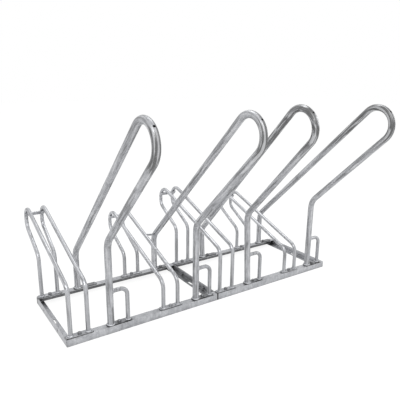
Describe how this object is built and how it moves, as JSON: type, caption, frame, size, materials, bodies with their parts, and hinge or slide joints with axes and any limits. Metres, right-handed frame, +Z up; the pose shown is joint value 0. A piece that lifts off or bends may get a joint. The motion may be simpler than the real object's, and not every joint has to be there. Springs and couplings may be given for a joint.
{
  "type": "floor bike rack",
  "caption": "Galvanised steel floor rack for parking bicycles: bent wheel hoops held high and low in turn, leaning tube hoops and lock eyes on a bolted angle frame.",
  "frame": {"origin": "on the floor, under the middle of the rack's overall box", "axes": "+X along the rack from its left end to its right end, +Y from the front rail, where bicycles roll in, to the rear rail, +Z up"},
  "size_m": [1.4, 0.9724, 0.8932],
  "materials": {
    "tube": "hot-dip galvanised",
    "round_bar": "hot-dip galvanised",
    "flat_bar": "hot-dip galvanised",
    "angle": "hot-dip galvanised",
    "fastener": "zinc plated"
  },
  "bodies": {
    "root": {"end_bar_left_module_left": "angle", "end_bar_left_module_right": "angle", "end_bar_right_module_left": "angle", "end_bar_right_module_right": "angle", "front_rail_left": "angle", "front_rail_right": "angle", "holder_plate_front_1": "flat_bar", "holder_plate_front_2": "flat_bar", "holder_plate_front_3": "flat_bar", "holder_plate_front_4": "flat_bar", "holder_plate_rear_1": "flat_bar", "holder_plate_rear_2": "flat_bar", "holder_plate_rear_3": "flat_bar", "holder_plate_rear_4": "flat_bar", "hoop_strap_1": "flat_bar", "hoop_strap_2": "flat_bar", "hoop_strap_3": "flat_bar", "hoop_strap_4": "flat_bar", "joint_bolts": "fastener", "joint_nuts": "fastener", "joint_washers": "fastener", "lean_hoop_1": "tube", "lean_hoop_2": "tube", "lean_hoop_3": "tube", "lean_hoop_4": "tube", "lean_plate_front_1": "flat_bar", "lean_plate_front_2": "flat_bar", "lean_plate_front_3": "flat_bar", "lean_plate_front_4": "flat_bar", "lean_plate_rear_1": "flat_bar", "lean_plate_rear_2": "flat_bar", "lean_plate_rear_3": "flat_bar", "lean_plate_rear_4": "flat_bar", "lock_eye_1": "round_bar", "lock_eye_2": "round_bar", "lock_eye_3": "round_bar", "lock_eye_4": "round_bar", "plate_bolts": "fastener", "plate_nuts": "fastener", "plate_washers": "fastener", "rear_rail_left": "angle", "rear_rail_right": "angle", "stay_2": "round_bar", "stay_4": "round_bar", "wheel_hoop_1_left": "round_bar", "wheel_hoop_1_right": "round_bar", "wheel_hoop_2_left": "round_bar", "wheel_hoop_2_right": "round_bar", "wheel_hoop_3_left": "round_bar", "wheel_hoop_3_right": "round_bar", "wheel_hoop_4_left": "round_bar", "wheel_hoop_4_right": "round_bar"}
  },
  "joints": []
}
